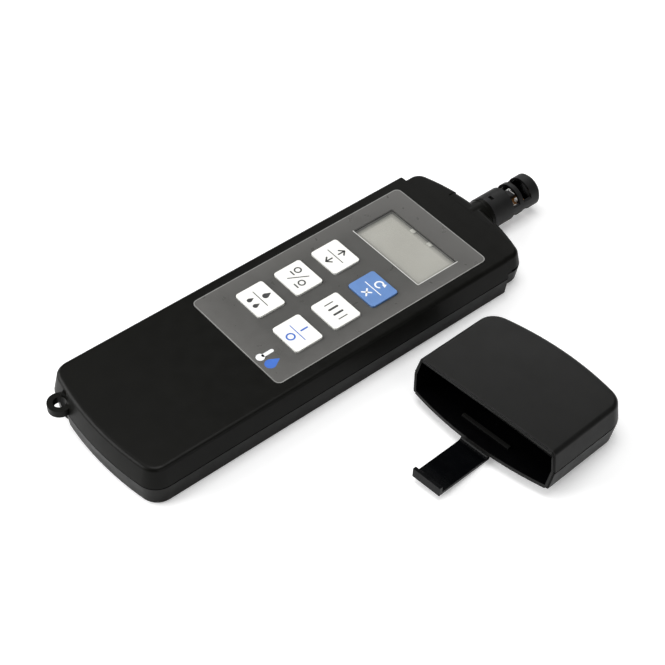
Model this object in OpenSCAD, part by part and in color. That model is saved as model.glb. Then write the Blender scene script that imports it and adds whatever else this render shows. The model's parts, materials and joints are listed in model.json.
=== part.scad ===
// Pocket thermo-hygrometer: a flat two-part housing with a sensor probe at one end,
// six keys and a display on its face, three round cells in its back, and a cap with
// a pocket clip that is pulled off the probe and laid beside it.
// The meter lies on its back. +Y runs along it towards the probe, +X is the reader's
// right, +Z is up. The origin is the middle of the body's back face.

/* [Meter body] */
// Width of the body across its seam
body_w = 56; // [54:0.5:62]
// Length of the body from its bowed end to the step where the cap seats
body_len = 146; // [144:1:156]
// Thickness of the body
body_h = 15; // [15:0.1:16.5]
// Height of the seam between the two housings
seam_h = 7.8; // [7.4:0.1:8.2]
// Radius of the bow across the lanyard end
body_bow_r = 111; // [90:1:140]
// Plan radius of the corners at the lanyard end
body_corner_r = 7; // [6:0.5:9]
// How far the front half leans in between the seam and the face
front_draft = 1.2; // [0.6:0.1:1.4]
// How far the back half leans in between the seam and the back
back_draft = 0.8; // [0.4:0.1:1.2]
// Rounding of the edge round the face
face_fillet = 1.8; // [1.2:0.1:2]
// Bevel of the edge round the back
back_bevel = 0.7; // [0.4:0.1:1]
// Thickness of the side walls
side_wall = 2; // [1.6:0.1:2.4]
// Thickness of the face
face_wall = 1.8; // [1.6:0.1:2]
// Thickness of the back
back_wall = 1.6; // [1.4:0.1:1.8]
// Height of the shadow groove at the seam
groove_h = 0.4; // [0.3:0.05:0.6]
// Depth of the shadow groove at the seam
groove_depth = 0.5; // [0.3:0.05:0.7]

/* [Head and cap] */
// Length of the head that the cap slides over
head_len = 13; // [12.4:0.2:14]
// Radius of the bow across the head
head_bow_r = 72; // [60:1:90]
// Plan radius of the head's corners
head_corner_r = 5.25; // [4:0.25:6.5]
// Thickness of the cap's walls
cap_wall = 1.3; // [1.2:0.05:1.4]
// Gap between the head and the inside of the cap
cap_gap = 0.2; // [0.15:0.05:0.3]
// Length of the cap
cap_len = 39.3; // [39:0.1:46]
// Bow of the lower edge of the cap's mouth
mouth_bow = 3; // [0.6:0.1:3.4]
// Radius of the bow across the cap's closed end
cap_bow_r = 92; // [80:1:120]
// Plan radius of the cap's corners
cap_corner_r = 8.25; // [6:0.25:9]
// Where the middle of the cap's mouth lies, to the right of the meter's centre line
cap_x = 69.9; // [68:0.5:90]
// Where the middle of the cap's mouth lies along the meter
cap_y = 20.4; // [0:0.5:40]
// Turn of the cap as it lies beside the meter
cap_yaw = 5.7; // [0:0.1:10]
// Width of the pocket clip
clip_w = 10.8; // [9:0.2:13]
// Thickness of the pocket clip
clip_t = 1.1; // [0.9:0.05:1.3]
// Length of the snap rib across the cap's floor
rib_w = 18.6; // [14:0.2:22]
// Distance from the cap's mouth to the snap rib
rib_y = 2.8; // [2.4:0.1:4]
// Height of the snap rib
rib_h = 0.7; // [0.4:0.05:0.8]
// Reach of the pocket clip past the mouth
clip_reach = 23.2; // [18:0.2:28]
// How far the clip's tongue stands below the cap
clip_drop = 4.2; // [3.6:0.1:5]
// Length of the clip's root plate under the cap
clip_root = 15; // [12:0.5:20]
// Diameter of the rivets through the clip's root
rivet_d = 2.4; // [2:0.1:3]

/* [Face] */
// Width of the label film
film_w = 44.5; // [43:0.25:46]
// Length of the label film
film_len = 87.2; // [86:0.2:90]
// Thickness of the label film
film_t = 0.5; // [0.4:0.05:0.6]
// How far the film stands out of its recess
film_proud = 0.2; // [0.1:0.05:0.3]
// Gap between the label film and the step of the body
film_margin = 5; // [4:0.25:6]
// Width of a key
key_w = 12.6; // [11:0.1:13]
// Length of a key along the meter
key_len = 10.8; // [9:0.1:11.5]
// Distance between the two columns of keys
key_pitch_x = 18.9; // [18:0.1:19.5]
// Distance between the rows of keys
key_pitch_y = 15.5; // [15.2:0.1:16.2]
// Distance from the lower edge of the film to the first row's middle
key_first = 17.9; // [16.5:0.1:18.5]
// How far a key stands above the film
key_proud = 0.6; // [0.6:0.05:0.9]
// Travel of a key
key_travel = 0.6; // [0.4:0.05:0.65]
// Gap all round a key in its opening
key_gap = 0.18; // [0.12:0.02:0.3]
// Width of the display's window
window_w = 32.4; // [28:0.2:33]
// Length of the display's window along the meter
window_len = 17.2; // [14:0.2:18]
// Middle of the window, to the right of the centre line
window_x = 0.7; // [-1:0.1:1]
// Distance from the upper edge of the film to the window
window_margin = 8.4; // [7.5:0.1:9]

/* [Probe] */
// Diameter of the probe
probe_d = 12.2; // [11.8:0.1:12.3]
// Height of the probe's axis above the back
probe_z = 7.5; // [7.4:0.02:7.52]
// Distance from the body's step to the probe's tip
probe_reach = 37; // [36.6:0.1:37.3]
// Distance from the body's step to the joint of the probe's sleeve
sleeve_start = 15.2; // [14.9:0.1:15.6]
// Wall of the probe's sleeve
sleeve_wall = 1.2; // [1:0.05:1.3]
// Width of the probe's block in the head
block_w = 20; // [18:0.25:22]
// Distance from the body's step to the edge over the probe's block
block_edge = 7.6; // [7:0.1:8]
// Distance from the body's step to the first row of windows
first_window = 24.2; // [23.8:0.1:25.2]
// Length of the first windows
first_window_len = 2.9; // [2.6:0.1:3.2]
// Ring between the two rows of windows
window_ring = 1.7; // [1.3:0.1:2]
// Length of the second windows
second_window_len = 3.7; // [3.2:0.1:4]

/* [Lanyard eye] */
// Outer diameter of the lanyard eye
eye_d = 8; // [7.6:0.1:8.8]
// Diameter of the hole through the eye
eye_hole = 4.2; // [3.8:0.1:4.4]
// Thickness of the eye
eye_t = 2.6; // [2:0.1:3]
// Middle of the eye, to the left of the centre line
eye_x = 17.2; // [12:0.1:18]
// How far the middle of the eye stands past the bowed end at that place
eye_out = 0.8; // [0.7:0.05:2]

/* [Cells and door] */
// Diameter of a cell
cell_d = 10.3; // [10:0.05:10.5]
// Length of a cell with its nub
cell_len = 44.5; // [43.8:0.1:44.5]
// Distance between the middles of two cells
cell_pitch = 11; // [10.8:0.05:11.2]
// Room for a contact spring
spring_room = 3; // [2.6:0.1:3.2]
// Thickness of the battery door
door_t = 1.4; // [1.2:0.1:1.5]
// Diameter of the door's hinge pins
hinge_d = 1.6; // [1.4:0.1:1.8]

/* [Boards and screws] */
// Thickness of the main board
board_t = 1.2; // [1:0.1:1.4]
// Height of the main board's underside above the back
board_z = 8.6; // [8.4:0.1:8.8]
// Width of the main board
board_w = 45.2; // [44:0.2:46]
// Shank diameter of a housing screw
screw_d = 2.5; // [2.2:0.1:2.8]
// Head diameter of a housing screw
screw_head_d = 4.6; // [4.2:0.1:5]
// Shank diameter of a board screw
board_screw_d = 1.9; // [1.6:0.1:2.1]

/* [Hidden] */
$fn = 48;

// Fits and small working allowances
cut = 0.1;
sliver = 0.01;
fit_gap = 0.15;
seat_gap = 0.1;
pin_gap = 0.05;

// Places along the meter
end_y = -body_len / 2;
step_y = body_len / 2;
head_y = step_y + head_len;
film_top = step_y - film_margin;
film_low = film_top - film_len;
key_y = film_low + key_first;
window_y = film_top - window_margin - window_len / 2;
tip_y = step_y + probe_reach;
joint_y = step_y + sleeve_start;

// The head is the body's own section, drawn in by the cap's wall and its gap
head_in = cap_wall + cap_gap;
lip_seat = 0.15;
lip_inset = 0.5;
lip_roof = 1.1;
inner_face = body_h - face_wall;
film_floor = body_h + film_proud - film_t;
film_z = body_h + film_proud;
board_top = board_z + board_t;

// Colours
black = [0.035, 0.035, 0.038];
dark_grey = [0.13, 0.13, 0.135];
film_grey = [0.3, 0.3, 0.29];
key_white = [0.86, 0.87, 0.88];
key_blue = [0.2, 0.36, 0.72];
glass_grey = [0.62, 0.65, 0.58];
board_green = [0.05, 0.26, 0.14];
nickel = [0.72, 0.72, 0.7];
gold = [0.8, 0.6, 0.25];

// Outline of a plan with one flat end at y = 0 and one bowed end at y = len.
// The inset shrinks the sides and the bowed end and keeps the arcs concentric.
function bowed_plan(w, len, bow_r, corner_r, inset, steps = 7) =
  let (cx = w / 2 - corner_r,
       oy = len - bow_r,
       cy = oy + sqrt(pow(bow_r - corner_r, 2) - cx * cx),
       turn = atan2(cy - oy, cx),
       r = corner_r - inset,
       big = bow_r - inset,
       corner = [for (i = [0:steps]) [cx + r * cos(turn * i / steps), cy + r * sin(turn * i / steps)]],
       bow = [for (i = [1:2 * steps - 1]) let (a = turn + (180 - 2 * turn) * i / (2 * steps))
              [big * cos(a), oy + big * sin(a)]],
       mirrored = [for (i = [steps:-1:0]) [-corner[i][0], corner[i][1]]])
  concat([[w / 2 - inset, 0]], corner, bow, mirrored, [[inset - w / 2, 0]]);

module body_outline(inset = 0, past = 0) {
  translate([0, step_y]) mirror([0, 1]) translate([0, -past])
    polygon(bowed_plan(body_w, body_len + past, body_bow_r, body_corner_r, inset));
}

module head_outline(inset = 0, past = 0) {
  translate([0, step_y - past])
    polygon(bowed_plan(body_w - 2 * head_in, head_len + past, head_bow_r, head_corner_r, inset));
}

module cap_outline(inset = 0, past = 0) {
  translate([0, -past]) polygon(bowed_plan(body_w, cap_len + past, cap_bow_r, cap_corner_r, inset));
}

// Inset and height of the front half's outer surface, from the seam to a face at height top
function front_levels(top, inset = 0, r = face_fillet) =
  let (lean = inset + front_draft * (top - r - seam_h) / (body_h - face_fillet - seam_h))
  concat([[inset, seam_h], [lean, top - r]],
         [for (i = [1:4]) [lean + r * (1 - cos(22.5 * i)), top - r * (1 - sin(22.5 * i))]]);

// The same for the back half, from the seam down to a back at height low
function back_levels(low, inset = 0) =
  [[inset, seam_h], [inset + back_draft, low + back_bevel],
   [inset + back_draft + back_bevel * 0.3, low + back_bevel * 0.3], [inset + back_draft + back_bevel, low]];

// Inner surfaces: leaning walls of one thickness, cut a little past the seam
function front_hollow(top, wall = side_wall) = [[wall, seam_h - cut], [wall + front_draft, top]];
function back_hollow(low, wall = side_wall) = [[wall, seam_h + cut], [wall + back_draft, low]];

// Hull of thin slices of one of the three plans, each slice at its level's inset and height
module stacked(levels, plan, past = 0) {
  top = max([for (l = levels) l[1]]);
  hull() for (l = levels)
    translate([0, 0, min(l[1], top - sliver)]) linear_extrude(sliver) {
      if (plan == "body") body_outline(l[0], past);
      if (plan == "head") head_outline(l[0], past);
      if (plan == "cap") cap_outline(l[0], past);
    }
}

function rounded_box(w, len, r, steps = 4) =
  [for (q = [0:3], i = [0:steps])
    let (a = 90 * q + 90 * i / steps, sx = (q == 0 || q == 3) ? 1 : -1, sy = q < 2 ? 1 : -1)
    [sx * (w / 2 - r) + r * cos(a), sy * (len / 2 - r) + r * sin(a)]];

module plate(w, len, h, r, x = 0, y = 0, z = 0) {
  translate([x, y, z]) linear_extrude(h) polygon(rounded_box(w, len, r));
}

module box(x0, x1, y0, y1, z0, z1) {
  translate([x0, y0, z0]) cube([x1 - x0, y1 - y0, z1 - z0]);
}

module along_y(x, z, y0, y1, d) {
  translate([x, y0, z]) rotate([-90, 0, 0]) cylinder(h = y1 - y0, d = d);
}

// Keys: column, row, and the places that follow from them
key_spots = [[0, 0], [0, 1], [0, 2], [1, 0], [1, 1], [1, 2]];
function key_place(i) = [(key_spots[i][0] - 0.5) * key_pitch_x, key_y + key_spots[i][1] * key_pitch_y];
key_corner = 1;
flange_out = 0.7;
flange_t = 0.9;
flange_top = inner_face - fit_gap;
stem_t = 0.2;
stem_low = flange_top - flange_t - stem_t;
stem_d = 5;
dome_top = stem_low - key_travel - pin_gap;
key_top = film_z + key_proud;

// Housing screws stand in the four corners, board screws beside the keys
screw_in = 5.8;
screw_low_y = end_y + 11;
screw_high_y = step_y - 7;
screw_x = body_w / 2 - screw_in;
boss_d = 6.2;
screw_head_t = 1.8;
screw_head_z = 1;
screw_tip_z = inner_face - 0.6;
board_screw_x = 19.3;
board_boss_d = 4.4;
board_low = film_low + 3.7;
board_high = step_y - side_wall - fit_gap;
board_screw_y = [board_low + 3, key_y + 2 * key_pitch_y + key_len / 2 + 1.4];
board_screw_head_d = 3.6;
board_screw_head_t = 1.2;
board_screw_tip = inner_face - 1;

module at_screws() {
  for (sx = [-1, 1], y = [screw_low_y, screw_high_y]) translate([sx * screw_x, y, 0]) children();
}

module at_board_screws() {
  for (sx = [-1, 1], y = board_screw_y) translate([sx * board_screw_x, y, 0]) children();
}

// Battery bay: a tub in the back housing, open to the back
contact_t = 0.4;
bay_wall = 1.2;
bay_high_y = board_low - bay_wall - 1.2;
bay_low_y = bay_high_y - cell_len - spring_room - 2 * contact_t - 2 * seat_gap;
bay_half = cell_pitch + cell_d / 2 + 0.3;
cell_low = back_wall + 0.2;
cell_z = cell_low + cell_d / 2;
bay_ceiling = cell_low + cell_d + 0.15;
bay_top = inner_face - seat_gap;
door_half = bay_half + 0.9;
door_gap = 0.25;
door_inset = 0.1;
door_low_y = bay_low_y - 0.6;
finger_w = 10;
finger_len = 1.6;
latch_half = 4;
grip_half = 7;
grip_pitch = 1.6;
foot_out = 0.8;
foot_half = door_half + door_gap + foot_out;
hinge_y = bay_high_y + 0.9;
hinge_z = 1.3;
knuckle_d = 2.4;
knuckle_x = 11;
knuckle_w = 5;
pin_reach = 1.2;
hinge_arm = 1.8;
hinge_clear = 0.6;
door_high_y = hinge_y - knuckle_d / 2 - hinge_arm;
slot_y1 = hinge_y + knuckle_d / 2 + door_gap;
slot_top = hinge_z + knuckle_d / 2 + door_gap;
hinge_rib = 2.4;

// Display: everything follows the window's place
glass_over = 2;
glass_w = window_w + 2 * glass_over;
glass_len = window_len + 2 * glass_over;
glass_t = 1.1;
glass_top = film_floor - 0.9;
rear_glass_len = glass_len - 2.8;
frame_wall = 0.9;
window_ledge = 0.4;
tab_x = [-4.5, 3.7];
tab_w = 2;
tab_t = 0.4;
tab_reach = 1.5;
reflector_t = 0.25;

// The probe's block fills a cut-out in the head's end, and its root stands behind the end wall
block_step = 0.25;
chord_gap = 0.25;
chord_y = step_y + block_edge;
root_w = block_w + 4.6;
root_y1 = chord_y - 0.6;
root_y0 = root_y1 - 2.2;
neck_gap = 0.7;
head_floor = cap_wall + rib_h + fit_gap + back_wall;
head_roof = inner_face - head_in;
probe_bore = 8.4;
sleeve_bore = probe_d - 2 * sleeve_wall;
spigot_d = sleeve_bore - 2 * pin_gap;
spigot_len = 5.5;
latch_out = 2.8;
latch_y = joint_y + latch_out;
latch_w = 1.6;
latch_len = 1;
sensor_board_t = 0.8;
sensor_board_w = 7.6;
sensor_board_z = probe_z - 0.9;
sensor_back = step_y + 1.2;
sensor_past = 3.7;
sensor_land = 2.2;
sensor_y = step_y + first_window + first_window_len / 2 + sensor_past;
sensor_front = sensor_y + sensor_land;
sensor_top = sensor_board_z + sensor_board_t;
window_floor = probe_z + 1.7;
tip_bevel = 0.9;
cage_relief = 0.2;
cage_before = 0.3;
neck_land = 0.9;
joint_gap = 0.12;
latch_sink = 0.8;
cage_y = step_y + first_window - cage_before;
tip_wall = 1.6;

// Snap features: slots in the head's sides take bumps in the cap's sides, and a groove
// under the head takes the rib on the cap's floor
snap_y = 4.6;
snap_len = 3.2;
snap_h = 1;
snap_depth = 0.7;
bump_r = 0.7;
bump_out = 0.35;
bump_t = 0.8;
rib_t = 1.1;

// The eye stands on the bow, at the seam
eye_y = end_y + body_bow_r - sqrt(pow(body_bow_r, 2) - eye_x * eye_x) - eye_out;
eye_relief = 0.3;

// Lip of the front housing that registers in the back housing
lip_in = side_wall - 0.9;
seam_lip_t = 0.8;
lip_depth = 1;
lip_gap = 0.1;
lip_step_room = 8;
lip_end_room = 12;

module seam_lip(gap) {
  difference() {
    body_outline(lip_in - gap);
    body_outline(lip_in + seam_lip_t + gap);
    translate([0, step_y]) square([2 * body_w, 2 * lip_step_room], center = true);
    translate([0, end_y]) square([2 * body_w, 2 * lip_end_room], center = true);
  }
}

module front_housing() {
  color(black) difference() {
    union() {
      difference() {
        union() {
          stacked(front_levels(body_h), "body");
          stacked(front_levels(body_h - head_in), "head");
          translate([-eye_x, eye_y, seam_h]) cylinder(h = eye_t, d = eye_d);
        }
        difference() {
          stacked(front_hollow(inner_face), "body");
          box(-body_w, body_w, step_y - side_wall, step_y + side_wall, seam_h - 1, body_h);
        }
        stacked(front_hollow(head_roof), "head", head_len);
      }
      translate([0, 0, seam_h - lip_depth]) linear_extrude(lip_depth + 1) seam_lip(0);
      at_screws() translate([0, 0, seam_h]) cylinder(h = inner_face - seam_h + cut, d = boss_d);
      at_board_screws() translate([0, 0, board_top])
        cylinder(h = inner_face - board_top + cut, d = board_boss_d);
    }
    plate(film_w + 2 * fit_gap, film_len + 2 * fit_gap, 2, 2 + fit_gap, 0, film_top - film_len / 2, film_floor);
    for (i = [0:5])
      plate(key_w + 2 * key_gap, key_len + 2 * key_gap, 4, key_corner + key_gap,
            key_place(i)[0], key_place(i)[1], inner_face - cut);
    plate(window_w - 2 * window_ledge, window_len - 2 * window_ledge, 4, 0.6, window_x, window_y,
          inner_face - cut);
    plate(glass_w + 2 * frame_wall + 2 * fit_gap, glass_len + 2 * frame_wall + 2 * fit_gap,
          glass_top + seat_gap - seam_h, 0.6, window_x, window_y, seam_h);
    for (x = tab_x) frame_tab(x, fit_gap);
    at_screws() translate([0, 0, seam_h - 2]) cylinder(h = screw_tip_z + 0.2 - seam_h + 2, d = screw_d + 2 * pin_gap);
    at_board_screws() translate([0, 0, board_top - 1])
      cylinder(h = board_screw_tip + 0.1 - board_top + 1, d = board_screw_d + 2 * pin_gap);
    translate([-eye_x, eye_y, seam_h - 1]) cylinder(h = eye_t + 1 + sliver, d = eye_hole);
    translate([-eye_x, eye_y, seam_h + eye_t]) cylinder(h = body_h, d = eye_hole + 2 * eye_relief);
    block_cutout();
    head_snaps();
  }
}

module block_cutout() {
  box(-block_w / 2 - fit_gap, block_w / 2 + fit_gap, chord_y, head_y + 2, -1, body_h + 1);
}

module head_snaps() {
  for (s = [-1, 1])
    translate([s * (body_w / 2 - head_in), step_y + snap_y, seam_h])
      cube([2 * snap_depth, snap_len, snap_h], center = true);
}

module back_housing() {
  color(black) difference() {
    union() {
      difference() {
        union() {
          stacked(back_levels(0), "body");
          stacked(back_levels(head_in), "head");
        }
        difference() {
          stacked(back_hollow(back_wall), "body");
          box(-body_w, body_w, step_y - side_wall, step_y + side_wall, 0, body_h);
          box(-body_w, body_w, step_y - mouth_bow - side_wall, step_y, 0, cap_wall + lip_seat + lip_roof);
        }
        stacked(back_hollow(head_floor), "head", head_len);
      }
      at_screws() translate([0, 0, back_wall - cut]) cylinder(h = seam_h - back_wall + cut, d = boss_d);
      difference() {
        union() {
          box(-bay_half - bay_wall, bay_half + bay_wall, bay_low_y - bay_wall, bay_high_y + bay_wall,
              back_wall - cut, bay_top);
          box(-foot_half, foot_half, door_low_y - door_gap - foot_out, hinge_y + hinge_rib, back_wall - cut,
              hinge_z + hinge_rib / 2 + hinge_d / 2);
        }
        box(-bay_half, bay_half, bay_low_y, bay_high_y, 0, bay_ceiling);
      }
    }
    box(-door_half - door_gap, door_half + door_gap, door_low_y - door_gap, door_high_y + hinge_clear,
        -cut, back_wall);
    box(-finger_w / 2, finger_w / 2, door_low_y - door_gap - finger_len, door_low_y, -cut, back_wall - 0.6);
    for (s = [-1, 1])
      box(s * knuckle_x - knuckle_w / 2 - fit_gap, s * knuckle_x + knuckle_w / 2 + fit_gap,
          door_high_y, slot_y1, -cut, slot_top);
    for (s = [-1, 1]) translate([s * knuckle_x, hinge_y, hinge_z]) rotate([0, 90, 0])
      cylinder(h = knuckle_w + 2 * pin_reach + 2 * fit_gap, d = hinge_d + 2 * pin_gap, center = true);
    at_screws() {
      translate([0, 0, -cut]) cylinder(h = screw_head_z + screw_head_t + cut, d = screw_head_d + 0.4);
      cylinder(h = body_h, d = screw_d + 2 * fit_gap);
    }
    translate([0, 0, seam_h - lip_depth - lip_gap]) linear_extrude(lip_depth + 1) seam_lip(lip_gap);
    translate([0, 0, seam_h - groove_h]) linear_extrude(1) difference() {
      union() {
        body_outline(-1, 1);
        head_outline(-1, 2);
      }
      body_outline(groove_depth);
      head_outline(groove_depth, head_len);
    }
    translate([-eye_x, eye_y, -cut]) cylinder(h = body_h, d = eye_hole + 2 * eye_relief);
    box(-rib_w / 2 - fit_gap, rib_w / 2 + fit_gap, step_y + rib_y - fit_gap, step_y + rib_y + rib_t + fit_gap,
        -cut, head_floor - back_wall);
    translate([0, step_y, -cut]) mouth_lip(lip_seat, cap_wall + lip_seat + cut);
    block_cutout();
    contact_slots();
    head_snaps();
  }
}

// Door in the back: a plate on two hinge pins, with a friction tongue at its free end
module battery_door() {
  color(black) difference() {
    union() {
      box(-door_half, door_half, door_low_y, door_high_y, door_inset, door_t);
      box(-latch_half, latch_half, bay_low_y + seat_gap, bay_low_y + seat_gap + 1, door_t - cut,
          cell_low + 0.6);
      for (s = [-1, 1]) translate([s * knuckle_x, 0, 0]) {
        box(-knuckle_w / 2, knuckle_w / 2, door_high_y - 1, hinge_y, door_inset, door_t);
        translate([0, hinge_y, hinge_z]) rotate([0, 90, 0]) {
          cylinder(h = knuckle_w, d = knuckle_d, center = true);
          cylinder(h = knuckle_w + 2 * pin_reach, d = hinge_d, center = true);
        }
      }
    }
    for (i = [0:3]) box(-grip_half, grip_half, door_low_y + 3 + grip_pitch * i,
                        door_low_y + 3 + grip_pitch * (i + 0.45), -cut, door_inset + 0.4);
  }
}

module keypad_film() {
  color(film_grey) difference() {
    plate(film_w, film_len, film_t, 2, 0, film_top - film_len / 2, film_floor);
    for (i = [0:5])
      plate(key_w + 2 * key_gap, key_len + 2 * key_gap, 3, key_corner + key_gap,
            key_place(i)[0], key_place(i)[1], film_floor - 1);
    plate(window_w, window_len, 3, 0.6, window_x, window_y, film_floor - 1);
  }
}

module display_window() {
  color([0.8, 0.85, 0.82, 0.4])
    plate(window_w - 0.02, window_len - 0.02, film_t, 0.59, window_x, window_y, film_floor);
}

module key(i, shade) {
  place = key_place(i);
  color(shade) {
    plate(key_w, key_len, key_top - flange_top + flange_t / 2, key_corner, place[0], place[1],
          flange_top - flange_t / 2);
    plate(key_w + 2 * flange_out, key_len + 2 * flange_out, flange_t, key_corner, place[0], place[1],
          flange_top - flange_t);
    translate([place[0], place[1], stem_low]) cylinder(h = stem_t + cut, d = stem_d);
  }
}

mat_t = 0.8;
mat_over = 2.4;
dome_d = 8;

module key_mat() {
  color([0.55, 0.56, 0.56]) difference() {
    union() {
      plate(key_pitch_x + key_w + mat_over, 2 * key_pitch_y + key_len + mat_over, mat_t, 2, 0,
            key_y + key_pitch_y, board_top);
      for (i = [0:5]) translate([key_place(i)[0], key_place(i)[1], board_top])
        cylinder(h = dome_top - board_top, d1 = dome_d, d2 = stem_d);
    }
    for (i = [0:5]) translate([key_place(i)[0], key_place(i)[1], board_top - cut])
      cylinder(h = dome_top - board_top - 0.5 + cut, d = dome_d - 2.6);
  }
}

module contact_pills() {
  pill_t = 0.4;
  color(dark_grey) for (i = [0:5])
    translate([key_place(i)[0], key_place(i)[1], dome_top - 0.5 - pill_t])
      cylinder(h = pill_t, d = dome_d - 4);
}

module main_board() {
  color(board_green) difference() {
    box(-board_w / 2, board_w / 2, board_low, board_high, board_z, board_top);
    at_screws() cylinder(h = body_h, d = boss_d + 1);
    at_board_screws() cylinder(h = body_h, d = board_screw_d + 2 * fit_gap);
    box(-block_w / 2 - 2, block_w / 2 + 2, board_high - 1.5, board_high + 1, 0, body_h);
  }
}

// Parts under the main board
chip_w = 12;
chip_t = 1.6;
chip_x = -2;
chip_corner = 0.5;
chip_y = key_y + 1.5 * key_pitch_y;
lead_pitch = 1.1;
lead_w = 0.5;
lead_out = 1;
lead_t = 0.4;
crystal_x = 9;
crystal_d = 2;
crystal_len = 6;
capacitor_x = -13;
capacitor_d = 5;
capacitor_h = 4.6;

module controller_chip() {
  color(black) plate(chip_w, chip_w, chip_t, chip_corner, chip_x, chip_y, board_z - chip_t);
  color(nickel) for (s = [-1, 1], i = [0:9]) {
    side = chip_x + s * chip_w / 2;
    along = chip_y + (i - 4.5) * lead_pitch;
    box(side - (s < 0 ? lead_out : 0), side + (s < 0 ? 0 : lead_out), along - lead_w / 2,
        along + lead_w / 2, board_z - lead_t, board_z);
  }
}

module timing_crystal() {
  crystal_y = key_y + key_pitch_y;
  color(nickel) along_y(crystal_x, board_z - crystal_d / 2, crystal_y, crystal_y + crystal_len, crystal_d);
}

module storage_capacitor() {
  color([0.08, 0.09, 0.2])
    translate([capacitor_x, key_y + key_pitch_y / 2, board_z - capacitor_h])
      cylinder(h = capacitor_h, d = capacitor_d);
}

module display_front_glass() {
  color(glass_grey)
    box(window_x - glass_w / 2, window_x + glass_w / 2, window_y - glass_len / 2, window_y + glass_len / 2,
        glass_top - glass_t, glass_top);
}

module display_rear_glass() {
  color(glass_grey)
    box(window_x - glass_w / 2, window_x + glass_w / 2, window_y - rear_glass_len / 2,
        window_y + rear_glass_len / 2, glass_top - 2 * glass_t, glass_top - glass_t);
}

module display_reflector() {
  color([0.8, 0.8, 0.76])
    box(window_x - glass_w / 2, window_x + glass_w / 2, window_y - rear_glass_len / 2,
        window_y + rear_glass_len / 2, glass_top - 2 * glass_t - reflector_t, glass_top - 2 * glass_t);
}

strip_w = (glass_len - rear_glass_len) / 2 - fit_gap;

module display_connectors() {
  color([0.75, 0.55, 0.6]) for (s = [-1, 1])
    translate([window_x, window_y + s * (glass_len - strip_w) / 2, (board_top + glass_top - glass_t) / 2])
      cube([window_w, strip_w, glass_top - glass_t - board_top], center = true);
}

module display_frame() {
  outer_w = glass_w + 2 * frame_wall;
  outer_len = glass_len + 2 * frame_wall;
  color([0.7, 0.71, 0.7]) {
    difference() {
      plate(outer_w, outer_len, glass_top - board_top, 0.5, window_x, window_y, board_top);
      plate(glass_w + 2 * pin_gap, glass_len + 2 * pin_gap, body_h, 0.1, window_x, window_y, board_top - 1);
    }
    for (x = tab_x) frame_tab(x, 0);
  }
}

// Hook of the display's frame that holds the glass at the window's upper edge
module frame_tab(x, gap) {
  far = window_y + glass_len / 2 + frame_wall;
  box(window_x + x - tab_w / 2 - gap, window_x + x + tab_w / 2 + gap, window_y + window_len / 2 - tab_reach,
      far + gap, glass_top + sliver, glass_top + tab_t + gap);
  box(window_x + x - tab_w / 2 - gap, window_x + x + tab_w / 2 + gap, window_y + glass_len / 2 + pin_gap,
      far + gap, glass_top - cut, glass_top + tab_t);
}

module board_screws() {
  color(nickel) at_board_screws() {
    translate([0, 0, board_z - board_screw_head_t]) difference() {
      cylinder(h = board_screw_head_t, d = board_screw_head_d);
      cross_recess(board_screw_head_d);
    }
    translate([0, 0, board_z - cut]) cylinder(h = board_screw_tip - board_z + cut, d = board_screw_d);
  }
}

module housing_screws() {
  color(nickel) at_screws() {
    translate([0, 0, screw_head_z]) difference() {
      cylinder(h = screw_head_t, d = screw_head_d);
      cross_recess(screw_head_d);
    }
    translate([0, 0, screw_head_z + screw_head_t - cut])
      cylinder(h = screw_tip_z - screw_head_z - screw_head_t + cut, d = screw_d);
  }
}

module cross_recess(head_d) {
  for (a = [0, 90]) rotate([0, 0, a]) cube([head_d * 0.62, head_d * 0.16, head_d * 0.36], center = true);
}

nub_t = 1.1;
nub_d = 4;
spring_y0 = bay_low_y + contact_t;
cell_base = spring_y0 + spring_room + seat_gap;

// The outer cells lie one way round and the middle cell the other
module at_cells() {
  for (i = [-1, 1]) translate([i * cell_pitch, 0, cell_z]) children();
  translate([0, bay_low_y + bay_high_y, cell_z]) mirror([0, 1, 0]) children();
}

module battery_cells() {
  color([0.16, 0.18, 0.2]) at_cells() along_y(0, 0, cell_base, cell_base + cell_len - nub_t, cell_d);
}

module cell_nubs() {
  color(nickel) at_cells() along_y(0, 0, cell_base + cell_len - nub_t, cell_base + cell_len, nub_d);
}

plate_w = 8.6;
tail_w = 3;
strip_x = bay_half - contact_t;
strip_h = 1.8;
spring_d = 7.4;

// Plates at both ends of the bay join the three cells in a row. The first plate has a tail
// under the board, and the last has a strip along the bay's upper corner on to the board.
module battery_contacts() {
  low = bay_low_y;
  high = bay_high_y;
  z0 = cell_low + 0.8;
  z1 = bay_ceiling - 0.6;
  color(nickel) {
    box(-cell_pitch - plate_w / 2, plate_w / 2, low, low + contact_t, z0, z1);
    box(cell_pitch - plate_w / 2, strip_x + contact_t, low, low + contact_t, z0, z1);
    box(-plate_w / 2, cell_pitch + plate_w / 2, high - contact_t, high, z0, z1);
    box(-cell_pitch - plate_w / 2, -cell_pitch + plate_w / 2, high - contact_t, high, z0, z1);
    contact_tail(0);
    contact_strip(0);
  }
}

module contact_tail(gap) {
  box(-cell_pitch - tail_w / 2 - gap, -cell_pitch + tail_w / 2 + gap, bay_high_y - contact_t, board_low + 3,
      board_z - contact_t - gap, board_z + gap);
}

module contact_strip(gap) {
  box(strip_x - gap, strip_x + contact_t + gap, bay_low_y, board_low + 2, board_top - gap,
      board_top + strip_h + gap);
}

// Slots in the bay's end wall for the tail and the strip
module contact_slots() {
  contact_tail(pin_gap);
  contact_strip(pin_gap);
}

module battery_springs() {
  color(nickel) at_cells() translate([0, spring_y0, 0]) rotate([-90, 0, 0]) difference() {
    cylinder(h = spring_room + seat_gap, d1 = spring_d, d2 = spring_d * 0.7);
    translate([0, 0, -cut]) cylinder(h = spring_room + 1, d1 = spring_d - 1.2, d2 = spring_d * 0.5);
  }
}

socket_w = 9;
socket_len = 4;
socket_t = 1.6;
ribbon_t = 0.3;
ribbon_w = 6;

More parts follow.
